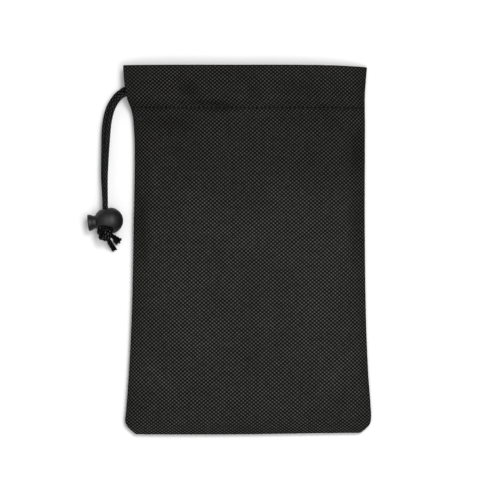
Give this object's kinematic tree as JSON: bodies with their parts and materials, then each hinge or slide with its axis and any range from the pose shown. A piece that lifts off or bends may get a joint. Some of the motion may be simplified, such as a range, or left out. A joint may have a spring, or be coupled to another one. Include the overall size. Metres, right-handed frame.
{
  "type": "drawstring glasses pouch",
  "caption": "Soft black non-woven drawstring pouch for glasses, with a ball-shaped spring cord stop and a knotted drawstring.",
  "frame": {"origin": "middle of the pouch's footprint, on the surface that its back panel lies on, without the free cord and its stop", "axes": "+X across the pouch, away from the cord; +Y from the bottom seam to the mouth; +Z out of the front panel"},
  "size_m": [0.1386, 0.18, 0.0128],
  "materials": {
    "fabric": "matt, point-bonded non-woven with a staggered dot emboss",
    "thread": "spun polyester sewing thread",
    "cord": "round braided polyester cord",
    "stop_plastic": "matt moulded plastic",
    "spring_steel": "drawn spring wire"
  },
  "bodies": {
    "pouch": {"front_panel": "fabric", "back_panel": "fabric", "front_hem_facing": "fabric", "back_hem_facing": "fabric", "front_hem_stitching": "thread", "back_hem_stitching": "thread", "left_seam_stitching": "thread", "right_seam_stitching": "thread", "bottom_seam_stitching": "thread", "drawstring_channel_run": "cord", "drawstring_upper_leg": "cord", "drawstring_lower_leg": "cord", "drawstring_knot": "cord", "drawstring_short_end": "cord", "drawstring_long_end": "cord"},
    "cord_stop": {"cord_stop_body": "stop_plastic", "cord_stop_spring": "spring_steel"},
    "plunger": {"cord_stop_plunger": "stop_plastic"}
  },
  "joints": [
    {"name": "cord_stop_slide", "type": "slide", "parent": "pouch", "child": "cord_stop", "axis": [0, 1, 0], "range_m": [0, 0.022]},
    {"name": "plunger_press", "type": "slide", "parent": "cord_stop", "child": "plunger", "axis": [0.9945, 0.1045, 0], "range_m": [0, 0.0016], "stiffness_N_per_m": 300, "deforming": ["cord_stop_spring"]}
  ]
}
